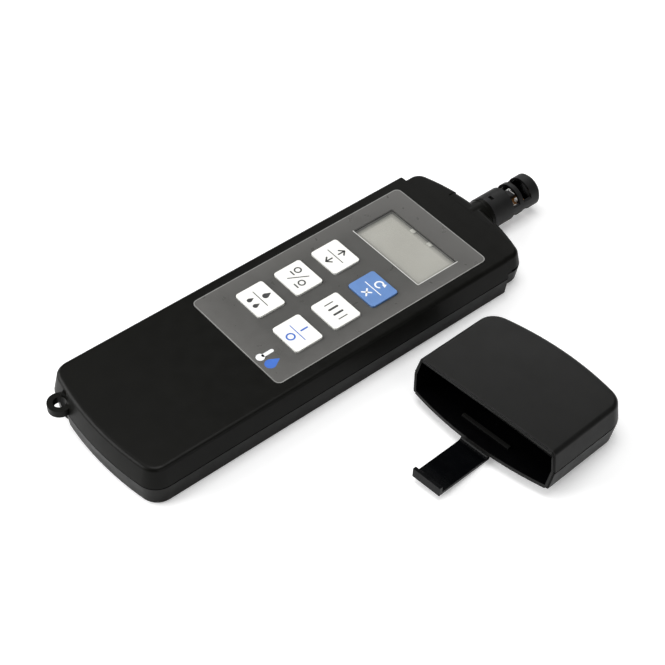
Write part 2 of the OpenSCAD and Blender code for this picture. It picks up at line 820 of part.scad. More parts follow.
module sensor_socket() {
  color([0.85, 0.84, 0.78]) difference() {
    box(-socket_w / 2, socket_w / 2, board_high - 1.5 - socket_len, board_high - 1.5, board_z - socket_t, board_z);
    box(-ribbon_w / 2 - pin_gap, ribbon_w / 2 + pin_gap, board_high - 3.5, board_high, board_z - 1.1,
        board_z - 0.6);
  }
}

// Flat ribbon from the socket down on to the sensor board
module sensor_ribbon() {
  y0 = board_high - 3.4;
  y1 = board_high - 0.4;
  z0 = board_z - 1;
  z1 = sensor_top;
  color([0.78, 0.6, 0.3]) translate([-ribbon_w / 2, 0, 0]) rotate([90, 0, 90]) linear_extrude(ribbon_w)
    polygon([[y0, z0], [y1, z0], [sensor_back + 1, z1], [sensor_back + 3, z1],
             [sensor_back + 3, z1 + ribbon_t], [sensor_back + 1, z1 + ribbon_t],
             [y1 + 0.1, z0 + ribbon_t], [y0, z0 + ribbon_t]]);
}

module probe_base() {
  color(dark_grey) difference() {
    union() {
      intersection() {
        box(-block_w / 2, block_w / 2, chord_y + chord_gap, head_y, 0, body_h);
        union() {
          stacked(front_levels(body_h - head_in - block_step, block_step), "head", head_len);
          stacked(back_levels(head_in + block_step, block_step), "head", head_len);
        }
      }
      box(-root_w / 2, root_w / 2, root_y0, root_y1, head_floor + fit_gap, head_roof - fit_gap);
      box(-block_w / 2, block_w / 2, root_y1 - cut, chord_y + 1, head_floor + neck_gap, head_roof - neck_gap);
      along_y(0, probe_z, chord_y + 1, head_y + neck_land, probe_d - 2 * cage_relief);
      along_y(0, probe_z, head_y + neck_land, joint_y, probe_d);
      along_y(0, probe_z, joint_y - 1, joint_y + spigot_len, spigot_d);
    }
    along_y(0, probe_z, root_y0 - 1, joint_y + spigot_len + 1, probe_bore);
  }
  color(dark_grey) intersection() {
    box(-latch_w / 2, latch_w / 2, latch_y - latch_len / 2, latch_y + latch_len / 2,
        probe_z + spigot_d / 2 - 0.3, probe_z + probe_d / 2 - latch_sink);
    along_y(0, probe_z, joint_y, tip_y, probe_d);
  }
}

module probe_sleeve() {
  second = first_window + first_window_len + window_ring;
  cage_d = probe_d - 2 * cage_relief;
  color(dark_grey) difference() {
    union() {
      along_y(0, probe_z, joint_y + joint_gap, cage_y, probe_d);
      along_y(0, probe_z, cage_y - cut, tip_y - tip_bevel, cage_d);
      translate([0, tip_y - tip_bevel, probe_z]) rotate([-90, 0, 0])
        cylinder(h = tip_bevel, d1 = cage_d, d2 = cage_d - 2 * tip_bevel);
    }
    along_y(0, probe_z, joint_y - 1, tip_y - tip_wall, sleeve_bore);
    box(-latch_w / 2 - fit_gap, latch_w / 2 + fit_gap, latch_y - latch_len / 2 - fit_gap,
        latch_y + latch_len / 2 + fit_gap, probe_z, probe_z + probe_d);
    for (w = [[first_window, first_window_len], [second, second_window_len]]) {
      box(-probe_d, probe_d, step_y + w[0], step_y + w[0] + w[1], window_floor, probe_z + probe_d);
      box(-probe_d, probe_d, step_y + w[0], step_y + w[0] + w[1], probe_z - probe_d,
          2 * probe_z - window_floor);
    }
  }
}

module sensor_board() {
  color(gold) {
    box(-sensor_board_w / 2, sensor_board_w / 2, sensor_back, sensor_front, sensor_board_z, sensor_top);
  }
}

module humidity_sensor() {
  color(key_white) plate(3.6, 2.8, 1.3, 0.3, -1.5, sensor_y - 0.1, sensor_top);
}

module temperature_sensor() {
  color(key_white) {
    plate(1.5, 2.3, 1, 0.3, 2.2, sensor_y, sensor_top);
  }
}

// The cap is drawn in its own frame: x across, y from the mouth to the closed end,
// z up from its underside. It lies on its back edge and on the heel of its clip.
heel_y = 0.1;
cap_back_edge = cap_len - back_draft - back_bevel;
cap_tilt = atan(clip_drop / (cap_back_edge + heel_y));
cap_lift = cap_back_edge * sin(cap_tilt);

module laid_cap() {
  translate([cap_x, cap_y, cap_lift]) rotate([0, 0, cap_yaw]) rotate([-cap_tilt, 0, 0]) children();
}

// The lower edge of the mouth is bowed, and the meter's back has a hollow of the same curve for it
lip_half = body_w / 2 - back_draft - back_bevel - lip_inset;
lip_r = (lip_half * lip_half + mouth_bow * mouth_bow) / (2 * mouth_bow);

module mouth_lip(gap, h) {
  intersection() {
    translate([0, lip_r - mouth_bow, 0]) cylinder(h = h, r = lip_r + gap);
    box(-lip_half - gap, lip_half + gap, -body_w, rim_step + cut, 0, h);
  }
}

rim_step = 0.5;
rivet_head_t = 0.7;
rivet_head_d = rivet_d + 1.6;
rivet_y = [rib_y + rib_t + 2.4, rib_y + rib_t + 8.4];

module cap_upper_shell() {
  color(black) laid_cap() difference() {
    stacked(front_levels(body_h), "cap");
    stacked(front_hollow(body_h - cap_wall, cap_wall), "cap", 1);
    rim_cut();
  }
}

// A small step round the outside of the mouth
module rim_cut() {
  difference() {
    box(-body_w, body_w, -1, rim_step, -body_h, 2 * body_h);
    translate([0, 2, 0]) rotate([90, 0, 0]) linear_extrude(4) polygon([
      [body_w / 2 - rim_step, seam_h],
      [body_w / 2 - rim_step - front_draft, body_h - face_fillet],
      [body_w / 2 - rim_step - front_draft - face_fillet * 0.6, body_h - rim_step],
      [-body_w / 2 + rim_step + front_draft + face_fillet * 0.6, body_h - rim_step],
      [-body_w / 2 + rim_step + front_draft, body_h - face_fillet],
      [-body_w / 2 + rim_step, seam_h],
      [-body_w / 2 + rim_step + back_draft, rim_step],
      [body_w / 2 - rim_step - back_draft, rim_step]]);
  }
}

module cap_lower_shell() {
  color(black) laid_cap() difference() {
    union() {
      difference() {
        stacked(back_levels(0), "cap");
        stacked(back_hollow(cap_wall, cap_wall), "cap", 1);
        rim_cut();
      }
      mouth_lip(0, cap_wall);
      box(-rib_w / 2, rib_w / 2, rib_y, rib_y + rib_t, cap_wall - cut, cap_wall + rib_h);
      for (s = [-1, 1])
        translate([s * (body_w / 2 - cap_wall + bump_r - bump_out), snap_y, seam_h - bump_t])
          cylinder(h = bump_t, r = bump_r);
    }
    translate([0, 0, seam_h - groove_h]) linear_extrude(1) difference() {
      cap_outline(-1, 1);
      cap_outline(groove_depth, 2);
    }
    for (y = rivet_y) translate([0, y, 0]) rivet_body(pin_gap);
  }
}

// Shank and countersunk head of a rivet, the head flush with the cap's floor
module rivet_body(gap) {
  translate([0, 0, -clip_t - gap]) cylinder(h = clip_t + cap_wall, d = rivet_d + 2 * gap);
  translate([0, 0, cap_wall - rivet_head_t]) cylinder(h = rivet_head_t + sliver, d1 = rivet_d + 2 * gap,
                                                    d2 = rivet_head_d + 2 * gap);
}

riser_top = 0.6;
riser_lean = 0.4;
riser_bend = 1.8;
tongue_top = clip_t - clip_drop;
tip_t = 1;
tip_lift = 3.5;

// Side view of the clip: root plate, riser, a bend, the tongue and its upturned end
function clip_profile() =
  let (bend_y = -riser_top - riser_lean - riser_bend, bend_z = tongue_top + riser_bend)
  concat([[-riser_top, 0], [clip_root, 0], [clip_root, -clip_t], [heel_y + 0.4, -clip_t],
          [-heel_y, -clip_drop], [-clip_reach, -clip_drop], [-clip_reach - 0.3, tip_lift - clip_drop],
          [tip_t - clip_reach, tip_lift - clip_drop], [tip_t + 0.3 - clip_reach, tongue_top]],
         [for (i = [0:5]) [bend_y + riser_bend * sin(18 * i), bend_z - riser_bend * cos(18 * i)]]);

module pocket_clip() {
  color(black) laid_cap() difference() {
    translate([-clip_w / 2, 0, 0]) rotate([90, 0, 90]) linear_extrude(clip_w) polygon(clip_profile());
    for (y = rivet_y) translate([0, y, 0]) rivet_body(pin_gap);
  }
}

module clip_rivets() {
  color(black) laid_cap() for (y = rivet_y) translate([0, y, 0]) {
    rivet_body(0);
    translate([0, 0, -clip_t - rivet_head_t]) cylinder(h = rivet_head_t, d = rivet_head_d);
  }
}

front_housing();
back_housing();
battery_door();
keypad_film();
display_window();
key(3, key_white);  // key_power
key(4, key_white);  // key_hold
key(5, key_blue);  // key_clear
key(0, key_white);  // key_dew_point
key(1, key_white);  // key_units
key(2, key_white);  // key_max_min
key_mat();
contact_pills();
main_board();
controller_chip();
timing_crystal();
storage_capacitor();
display_front_glass();
display_rear_glass();
display_reflector();
display_frame();
display_connectors();
board_screws();
housing_screws();
battery_cells();
cell_nubs();
battery_contacts();
battery_springs();
sensor_socket();
sensor_ribbon();
probe_base();
probe_sleeve();
sensor_board();
humidity_sensor();
temperature_sensor();
cap_upper_shell();
cap_lower_shell();
pocket_clip();
clip_rivets();
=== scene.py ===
"""Looks of the pocket thermo-hygrometer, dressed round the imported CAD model. Units are metres."""

import json
import math

import bmesh
import bpy
from mathutils import Matrix, Vector

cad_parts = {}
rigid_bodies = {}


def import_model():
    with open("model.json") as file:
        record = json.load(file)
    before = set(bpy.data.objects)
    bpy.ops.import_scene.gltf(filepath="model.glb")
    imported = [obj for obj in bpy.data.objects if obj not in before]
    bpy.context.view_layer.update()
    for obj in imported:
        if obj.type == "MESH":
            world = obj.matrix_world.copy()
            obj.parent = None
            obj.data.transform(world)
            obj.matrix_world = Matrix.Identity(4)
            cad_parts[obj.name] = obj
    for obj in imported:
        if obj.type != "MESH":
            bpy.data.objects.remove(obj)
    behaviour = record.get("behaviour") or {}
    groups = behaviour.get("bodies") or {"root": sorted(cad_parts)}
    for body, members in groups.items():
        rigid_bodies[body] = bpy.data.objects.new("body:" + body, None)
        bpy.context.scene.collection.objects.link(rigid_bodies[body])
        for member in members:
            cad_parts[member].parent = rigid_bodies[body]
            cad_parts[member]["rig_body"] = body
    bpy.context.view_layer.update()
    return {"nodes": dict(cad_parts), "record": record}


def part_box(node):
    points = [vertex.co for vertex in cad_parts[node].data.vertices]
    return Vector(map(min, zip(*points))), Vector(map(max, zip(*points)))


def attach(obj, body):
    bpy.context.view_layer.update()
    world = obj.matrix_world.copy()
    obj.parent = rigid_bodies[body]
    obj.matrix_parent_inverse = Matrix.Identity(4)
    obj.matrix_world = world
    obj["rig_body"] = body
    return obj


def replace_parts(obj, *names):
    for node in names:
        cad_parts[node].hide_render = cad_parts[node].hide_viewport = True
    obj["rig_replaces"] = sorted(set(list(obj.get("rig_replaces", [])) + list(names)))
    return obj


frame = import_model()
MM = 0.001
COLLECTION = bpy.context.scene.collection
BODY_OF = {node: obj["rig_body"] for node, obj in frame["nodes"].items()}
SLOT_OF = {part["node"]: part["material_slot"] for part in frame["record"]["subparts"]}


# Materials

class Shader:
    """A Principled material whose nodes are added by short calls."""

    def __init__(self, name, colour, roughness, **constants):
        self.name = name
        self.material = bpy.data.materials.new(name)
        self.material.use_nodes = True
        self.nodes = self.material.node_tree.nodes
        self.links = self.material.node_tree.links
        self.shader = self.nodes["Principled BSDF"]
        self.shader.inputs["Base Color"].default_value = (*colour, 1)
        self.shader.inputs["Roughness"].default_value = roughness
        for socket, value in constants.items():
            title = socket.replace("_", " ").title().replace("Ior", "IOR")
            self.shader.inputs[title].default_value = value
        self.place = self.nodes.new("ShaderNodeTexCoord").outputs["Object"]
        self.colour = colour
        self.roughness = roughness

    def noise(self, size, detail=2.0):
        """Fractal noise whose blobs are about size metres across."""
        node = self.nodes.new("ShaderNodeTexNoise")
        node.inputs["Scale"].default_value = 1 / size
        node.inputs["Detail"].default_value = detail
        self.links.new(self.place, node.inputs["Vector"])
        return node.outputs["Fac"]

    def spread(self, value, low, high, start=0.3, end=0.7):
        """Maps value between start and end on to low and high."""
        node = self.nodes.new("ShaderNodeMapRange")
        numbers = {"From Min": start, "From Max": end, "To Min": low, "To Max": high}
        for socket, number in numbers.items():
            node.inputs[socket].default_value = number
        self.links.new(value, node.inputs["Value"])
        return node.outputs["Result"]

    def blend(self, factor, first, second):
        """Mixes two colours, or colours made by other nodes, by factor."""
        node = self.nodes.new("ShaderNodeMix")
        node.data_type = "RGBA"
        self.links.new(factor, node.inputs["Factor"])
        for socket, value in ((node.inputs[6], first), (node.inputs[7], second)):
            if isinstance(value, tuple):
                socket.default_value = (*value, 1)
            else:
                self.links.new(value, socket)
        return node.outputs[2]

    def math(self, operation, *values):
        """Arithmetic on numbers or on other nodes' results."""
        node = self.nodes.new("ShaderNodeMath")
        node.operation = operation
        for socket, value in zip(node.inputs, values):
            if isinstance(value, (int, float)):
                socket.default_value = value
            else:
                self.links.new(value, socket)
        return node.outputs["Value"]

    def from_middle(self, box):
        """Distances in metres from the middle of a box, along X and along Y."""
        parts = self.nodes.new("ShaderNodeSeparateXYZ")
        self.links.new(self.place, parts.inputs["Vector"])
        middle = (box[0] + box[1]) / 2
        return [self.math("ABSOLUTE", self.math("SUBTRACT", parts.outputs[axis], centre))
                for axis, centre in (("X", middle.x), ("Y", middle.y))]

    def vary(self, amount, size, roughness=0.0, detail=3.0):
        """Clouds the colour and the roughness gently over blobs of that size."""
        cloud = self.spread(self.noise(size, detail), 0, 1)
        dark = tuple(c * (1 - amount) for c in self.colour)
        light = tuple(min(1, c * (1 + amount)) for c in self.colour)
        self.links.new(self.blend(cloud, dark, light), self.shader.inputs["Base Color"])
        if roughness:
            grain = self.noise(size * 0.4, detail)
            low, high = self.roughness - roughness, self.roughness + roughness
            self.links.new(self.spread(grain, low, high), self.shader.inputs["Roughness"])
        return self

    def grain(self, size, height, strength=1.0):
        """Fine moulded or cast surface: bumps of that size and height, both in metres."""
        bump = self.nodes.new("ShaderNodeBump")
        bump.inputs["Strength"].default_value = strength
        bump.inputs["Distance"].default_value = height
        self.links.new(self.noise(size), bump.inputs["Height"])
        self.links.new(bump.outputs["Normal"], self.shader.inputs["Normal"])
        return self


def clear_film(name):
    """A thin clear film: light passes straight through, and its outer side mirrors a little."""
    film = Shader(name, (0.95, 0.95, 0.94), 0.12)
    through = film.nodes.new("ShaderNodeBsdfTransparent")
    through.inputs["Color"].default_value = (*film.colour, 1)
    haze = film.nodes.new("ShaderNodeBsdfDiffuse")
    haze.inputs["Color"].default_value = (0.80, 0.80, 0.78, 1)
    misted = film.nodes.new("ShaderNodeMixShader")
    film.links.new(film.spread(film.noise(0.009), 0.03, 0.05), misted.inputs["Fac"])
    film.links.new(through.outputs["BSDF"], misted.inputs[1])
    film.links.new(haze.outputs["BSDF"], misted.inputs[2])
    gloss = film.nodes.new("ShaderNodeBsdfAnisotropic")
    film.links.new(film.spread(film.noise(0.002), 0.1, 0.16), gloss.inputs["Roughness"])
    fresnel = film.nodes.new("ShaderNodeFresnel")
    fresnel.inputs["IOR"].default_value = 1.45
    inside = film.nodes.new("ShaderNodeNewGeometry").outputs["Backfacing"]
    share = film.math("MULTIPLY", fresnel.outputs["Fac"], film.math("SUBTRACT", 1, inside))
    mix = film.nodes.new("ShaderNodeMixShader")
    film.links.new(share, mix.inputs["Fac"])
    film.links.new(misted.outputs["Shader"], mix.inputs[1])
    film.links.new(gloss.outputs["BSDF"], mix.inputs[2])
    film.links.new(mix.outputs["Shader"], film.nodes["Material Output"].inputs["Surface"])
    film.nodes.remove(film.shader)
    return film


def printed_film_and_sheen(name):
    """Label film: the print is darkest round the keys, and a painted sheen makes it paler towards the
    film's edges.

    How far a point lies from the middle is a share of the way to the edge, from 0 to 1. The two
    ways are joined with soft corners, and a cloud makes the painted sheen's inner edge uneven.
    """
    dark_print, sheen_colour = (0.068, 0.067, 0.063), (0.096, 0.094, 0.089)
    corner_softness, cloud_share = 0.15, 0.25
    sheen_from, sheen_to = 0.72, 1.12
    film = Shader(name, (0.105, 0.103, 0.097), 0.32, coat_weight=0.25, coat_roughness=0.2)
    low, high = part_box("keypad_film")
    half = (high - low) / 2
    across, along = film.from_middle((low, high))
    far = film.math("SMOOTH_MAX", film.math("DIVIDE", across, half.x),
                    film.math("DIVIDE", along, half.y), corner_softness)
    wave = film.math("MULTIPLY_ADD", film.noise(0.012, 3), cloud_share, far)
    # Painted sheen: the film's colour turns paler towards its edges.
    edge = film.spread(wave, 0, 1, sheen_from, sheen_to)
    film.links.new(film.blend(edge, dark_print, sheen_colour), film.shader.inputs["Base Color"])
    film.links.new(film.spread(film.noise(0.004), 0.27, 0.37), film.shader.inputs["Roughness"])
    return film.grain(0.0003, 0.000003, 0.2)


def glass_cell(name):
    """Liquid crystal cell: grey-green, with a painted shade in a soft border under the window's edge.
    """
    edge_shade_colour, clear_colours = (0.20, 0.20, 0.187), ((0.455, 0.448, 0.418), (0.51, 0.503, 0.474))
    border_from, border_to, corner_softness = 0.1 * MM, 2.1 * MM, 0.8 * MM
    glass = Shader(name, (0.485, 0.477, 0.448), 0.16, coat_weight=0.3, coat_roughness=0.1)
    low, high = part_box("display_window")
    half = (high - low) / 2
    across, along = glass.from_middle((low, high))
    near = glass.math("SMOOTH_MIN", glass.math("SUBTRACT", half.x, across),
                      glass.math("SUBTRACT", half.y, along), corner_softness)
    # Painted shade: the cell turns darker near the window's edge, standing for the recess walls'
    # shadow.
    edge_shade_share = glass.spread(near, 0, 1, border_from, border_to)
    cloud = glass.spread(glass.noise(0.02, 3), 0, 1)
    clear = glass.blend(cloud, *clear_colours)
    glass.links.new(glass.blend(edge_shade_share, edge_shade_colour, clear), glass.shader.inputs["Base Color"])
    glass.links.new(glass.spread(glass.noise(0.008), 0.12, 0.2), glass.shader.inputs["Roughness"])
    return glass


def make_materials():
    """All materials by name. vary takes a share and a blob size, grain a bump's size and height."""
    made = (
        Shader("black_plastic", (0.0046, 0.0046, 0.0039), 0.34, specular_ior_level=0.1)
        .vary(0.07, 0.012, 0.05).grain(0.00022, 0.000012, 0.5),
        Shader("cap_plastic", (0.0090, 0.0090, 0.0086), 0.36, specular_ior_level=0.16)
        .vary(0.05, 0.012, 0.05).grain(0.00022, 0.000012, 0.5),
        # Near-black gloss: painted shade inside the cap and the probe's tube, and the dark seam
        # grooves and rivets.
        Shader("painted_shade_and_joint_black", (0.0012, 0.0012, 0.0014), 0.24, specular_ior_level=0.15)
        .vary(0.2, 0.006, 0.05).grain(0.0005, 0.00002, 0.6),
        Shader("clip_plastic", (0.0010, 0.0012, 0.0016), 0.26, specular_ior_level=0.12)
        .vary(0.15, 0.008, 0.05).grain(0.0006, 0.000006, 0.4),
        Shader("probe_plastic", (0.0105, 0.0105, 0.0105), 0.46, specular_ior_level=0.25)
        .vary(0.15, 0.006, 0.05).grain(0.0003, 0.00001, 0.5),
        printed_film_and_sheen("grey_film"),
        Shader("painted_film_edge_highlight", (0.25, 0.25, 0.24), 0.35).vary(0.2, 0.003, 0.04),
        clear_film("clear_window"),
        Shader("white_rubber", (0.83, 0.83, 0.79), 0.5)
        .vary(0.03, 0.005, 0.05).grain(0.0003, 0.000008, 0.4),
        Shader("blue_rubber", (0.105, 0.215, 0.47), 0.46)
        .vary(0.06, 0.005, 0.05).grain(0.0003, 0.000008, 0.4),
        Shader("dark_ink", (0.035, 0.035, 0.036), 0.5).vary(0.1, 0.003, 0.04),
        Shader("blue_ink", (0.035, 0.13, 0.50), 0.5).vary(0.08, 0.003, 0.04),
        Shader("white_ink", (0.82, 0.83, 0.84), 0.5).vary(0.03, 0.003, 0.04),
        glass_cell("display_glass"),
        # Mid-grey: painted light on the wall round the display, for the light the hazy film spreads on
        # the black case.
        Shader("window_wall", (0.11, 0.11, 0.105), 0.6).vary(0.08, 0.003, 0.05),
        Shader("painted_window_glint", (0.55, 0.55, 0.53), 0.3).vary(0.05, 0.003, 0.04),
        Shader("pale_plastic", (0.52, 0.52, 0.49), 0.45).vary(0.05, 0.004, 0.05),
        Shader("nickel", (0.56, 0.55, 0.52), 0.3, metallic=1.0)
        .vary(0.08, 0.002, 0.08).grain(0.0002, 0.000004, 0.5),
        Shader("green_board", (0.012, 0.085, 0.038), 0.32).vary(0.15, 0.004, 0.06),
        Shader("gold_board", (0.20, 0.085, 0.018), 0.35, metallic=0.3).vary(0.12, 0.0015, 0.08),
        Shader("white_ceramic", (0.84, 0.84, 0.82), 0.3).vary(0.04, 0.001, 0.05),
        Shader("amber_film", (0.42, 0.20, 0.05), 0.3).vary(0.1, 0.002, 0.05),
        Shader("chip_black", (0.014, 0.014, 0.015), 0.5).vary(0.15, 0.002, 0.06),
        Shader("carbon_rubber", (0.012, 0.012, 0.012), 0.7).vary(0.15, 0.002, 0.06),
        Shader("grey_silicone", (0.27, 0.27, 0.28), 0.55).vary(0.05, 0.004, 0.05),
        Shader("reflector_film", (0.42, 0.43, 0.38), 0.35).vary(0.05, 0.004, 0.05),
        Shader("cell_sleeve", (0.03, 0.035, 0.045), 0.25).vary(0.1, 0.006, 0.05),
    )
    return {shader.name: shader.material for shader in made}


MATERIALS = make_materials()


# Meshes

WELD = 0.03 * MM
FLAT_ANGLE = math.radians(0.4)
SHARP_ANGLE = math.radians(32)
BEVEL_ANGLE = math.radians(35)
CASE_EDGE = 0.14 * MM
CLIP_EDGE = 0.18 * MM
SMALL_EDGE = 0.12 * MM
FINE_EDGE = 0.08 * MM
KEY_EDGE = 0.35 * MM


def new_piece(name, bm, materials, body):
    """Makes an object of a bmesh, gives it its materials, and lets it ride on a body."""
    mesh = bpy.data.meshes.new(name)
    bm.to_mesh(mesh)
    bm.free()
    piece = bpy.data.objects.new(name, mesh)
    COLLECTION.objects.link(piece)
    for material in materials:
        mesh.materials.append(MATERIALS[material])
    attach(piece, body)
    return piece


def clean_copy(node):
    """The CAD node's surface as one welded mesh with its flat faces whole."""
    source = frame["nodes"][node].data
    bm = bmesh.new()
    corners = [bm.verts.new(v.co) for v in source.vertices]
    bm.verts.ensure_lookup_table()
    for polygon in source.polygons:
        bm.faces.new([corners[i] for i in polygon.vertices])
    bmesh.ops.remove_doubles(bm, verts=bm.verts, dist=WELD)
    bmesh.ops.dissolve_degenerate(bm, edges=bm.edges, dist=WELD / 2)
    bmesh.ops.dissolve_limit(bm, angle_limit=FLAT_ANGLE, verts=bm.verts, edges=bm.edges)
    bmesh.ops.recalc_face_normals(bm, faces=bm.faces)
    return bm


def soften(piece, width):
    """Rounds the sharp edges by width, lets large faces lead the shading, and applies both."""
    bevel = piece.modifiers.new("edge", "BEVEL")
    bevel.width = width
    bevel.segments = 2
    bevel.limit_method = "ANGLE"
    bevel.angle_limit = BEVEL_ANGLE
    bevel.use_clamp_overlap = True
    piece.modifiers.new("shade", "WEIGHTED_NORMAL").keep_sharp = True
    graph = bpy.context.evaluated_depsgraph_get()
    mesh = bpy.data.meshes.new_from_object(piece.evaluated_get(graph), depsgraph=graph)
    piece.modifiers.clear()
    piece.data = mesh


def dress(node, material, edge_width):
    """Shows a CAD node as a welded copy with softened edges and a finished material."""
    bm = clean_copy(node)
    for face in bm.faces:
        face.smooth = True
    for edge in bm.edges:
        edge.smooth = edge.is_manifold and edge.calc_face_angle(0) < SHARP_ANGLE
    piece = new_piece(node + "_skin", bm, [material], BODY_OF[node])
    if edge_width:
        soften(piece, edge_width)
    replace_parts(piece, node)
    return piece


def repaint(piece, test, material):
    """Faces whose centre, in millimetres, and normal pass the test take another material."""
    piece.data.materials.append(MATERIALS[material])
    index = len(piece.data.materials) - 1
    for face in piece.data.polygons:
        if test(face.center / MM, face.normal):
            face.material_index = index


# Places for repaint, in millimetres. The cap stands turned and tilted beside the meter.

SEAM = 7.8
GROOVE = 0.46
TOUCH = 0.05
CAP_YAW = math.radians(5.7)
CAP_TILT = math.atan2(4.2, 37.9)
CAP_TO_OWN = (Matrix.Rotation(CAP_YAW, 3, "Z") @ Matrix.Rotation(-CAP_TILT, 3, "X")).inverted()
CAP_MOUTH = Vector((69.9, 20.4, 4.16))
CAP_MIDDLE = Vector((0, 19, 7.5))
CAP_HALF_WIDTH = 27.5
CAP_HEIGHTS = (0.7, 14.3)
CAP_DEPTHS = (0.4, 38.6)
FLOOR_TOP = 1.7
RIB_DEPTHS = (2.70, 4.00)
RIB_FOOT = 1.4
WINDOW_MARGIN = 0.6
WINDOW_DEPTH = 3.5
TUBE_WALL = 0.9
FACING_UP = 0.7
UPRIGHT = 0.5


def cap_place(point):
    """A point of the frame as the cap's own x across, y from its mouth and z up."""
    return CAP_TO_OWN @ (point - CAP_MOUTH)


def inside_cap(centre, normal):
    """True on the cap's inner surfaces, behind the lip of its mouth, but not on its snap rib."""
    own = cap_place(centre)
    if RIB_DEPTHS[0] < own.y < RIB_DEPTHS[1] and own.z > RIB_FOOT:
        return False
    turned = CAP_TO_OWN @ normal
    floor = turned.z > FACING_UP and own.z < FLOOR_TOP
    return ((own.y > CAP_DEPTHS[0] or floor) and own.y < CAP_DEPTHS[1]
            and turned.dot(CAP_MIDDLE - own) > 0 and abs(own.x) < CAP_HALF_WIDTH
            and CAP_HEIGHTS[0] < own.z < CAP_HEIGHTS[1])


def inside_seam(centre, normal):
    """True in the groove along the seam between a front and a back half."""
    return SEAM - GROOVE < centre.z < SEAM + TOUCH


def inside_cap_seam(centre, normal):
    """True in the groove along the cap's seam."""
    return inside_seam(cap_place(centre), normal)


def inside_window(centre, normal):
    """True on the wall of the case round the display."""
    low, high = (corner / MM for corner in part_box("display_window"))
    return (low.x - WINDOW_MARGIN < centre.x < high.x + WINDOW_MARGIN
            and low.y - WINDOW_MARGIN < centre.y < high.y + WINDOW_MARGIN
            and abs(normal.z) < UPRIGHT and high.z - WINDOW_DEPTH < centre.z < high.z)


def inside_bore(centre, normal):
    """True inside the probe's tube."""
    low, high = (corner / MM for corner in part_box("probe_sleeve"))
    middle = (low + high) / 2
    away = Vector((centre.x - middle.x, 0, centre.z - middle.z))
    return away.length < (high.x - low.x) / 2 - TUBE_WALL and away.dot(normal) <= 0.01


def finish_nodes():
    """Every node that keeps its CAD shape gets softened edges or a better material."""
    # The wall round the display is painted mid-grey, lighter than the black case: painted light from
    # the hazy film.
    repaint(dress("front_housing", "black_plastic", CASE_EDGE), inside_window, "window_wall")
    repaint(dress("back_housing", "black_plastic", CASE_EDGE), inside_seam, "painted_shade_and_joint_black")
    # The cap shells' inner surfaces take painted shade; the lower shell's seam groove is a dark joint.
    repaint(dress("cap_upper_shell", "cap_plastic", CASE_EDGE), inside_cap, "painted_shade_and_joint_black")
    lower = dress("cap_lower_shell", "cap_plastic", CASE_EDGE)
    repaint(lower, inside_cap, "painted_shade_and_joint_black")
    repaint(lower, inside_cap_seam, "painted_shade_and_joint_black")
    dress("battery_door", "black_plastic", SMALL_EDGE)
    dress("pocket_clip", "clip_plastic", CLIP_EDGE)
    dress("clip_rivets", "painted_shade_and_joint_black", 0)
    dress("probe_base", "black_plastic", SMALL_EDGE)
    # The inside of the probe's tube takes painted shade.
    repaint(dress("probe_sleeve", "probe_plastic", CASE_EDGE), inside_bore, "painted_shade_and_joint_black")
    dress("keypad_film", "grey_film", 0)
    for node in ("key_power", "key_hold", "key_dew_point", "key_units", "key_max_min"):
        dress(node, "white_rubber", KEY_EDGE)
    dress("key_clear", "blue_rubber", KEY_EDGE)
    for node in ("display_frame", "housing_screws", "board_screws", "temperature_sensor"):
        dress(node, SLOT_OF[node], FINE_EDGE)
    dress("humidity_sensor", "chip_black", FINE_EDGE)
    dressed = {obj["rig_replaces"][0] for obj in bpy.data.objects if "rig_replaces" in obj}
    for node, obj in frame["nodes"].items():
        if node not in dressed:
            obj.data.materials.clear()
            obj.data.materials.append(MATERIALS[SLOT_OF[node]])


# Printed marks and painted highlight lines: shapes are lists of points in millimetres

SIGN_SCALE = 1.15
MARK_SINK = 0.03
KEY_INK = 0.015
FILM_INK = 0.012
FILM_SIGN_PLACE = (12.0, -14.2)
MARGIN_INSET = 0.05
MARGIN_CORNER = 1.95
MARGIN_WIDTH = 0.28
MARGIN_HIGHLIGHT_THICKNESS = 0.006
GLINT_WIDTH = 0.3
GLINT_THICKNESS = 0.008
RING_STEP = 12
CORNER_STEPS = 8
DROP_STEPS = 18


def around(x, y, radius, angle):
    """The point at that angle, in radians, on a circle."""
    return x + radius * math.cos(angle), y + radius * math.sin(angle)


def ring(x, y, radius, width, start=0, end=360):
    """Closed or open ring as one polygon per segment."""
    steps = round((end - start) / RING_STEP)
    angles = [math.radians(start + (end - start) * i / steps) for i in range(steps + 1)]
    small, large = radius - width / 2, radius + width / 2
    return [[around(x, y, small, a), around(x, y, large, a),
             around(x, y, large, b), around(x, y, small, b)] for a, b in zip(angles, angles[1:])]


def disc(x, y, radius, steps=20):
    return [[around(x, y, radius, 2 * math.pi * i / steps) for i in range(steps)]]


def stroke(x0, y0, x1, y1, width):
    """A line with rounded ends."""
    heading = math.atan2(y1 - y0, x1 - x0)
    points = []
    for x, y, first in ((x1, y1, heading - math.pi / 2), (x0, y0, heading + math.pi / 2)):
        points += [around(x, y, width / 2, first + math.pi * i / CORNER_STEPS)
                   for i in range(CORNER_STEPS + 1)]
    return [points]


def drop(x, y, radius, height):
    """A water drop with its round end down."""
    side = math.degrees(math.acos(radius / (height - radius)))
    points = [(x, y + height - radius)]
    for i in range(DROP_STEPS + 1):
        angle = 90 + side + (360 - 2 * side) * i / DROP_STEPS
        points.append(around(x, y, radius, math.radians(angle)))
    return [points]


def moved(shapes, dx, dy):
    return [[(x + dx, y + dy) for x, y in shape] for shape in shapes]


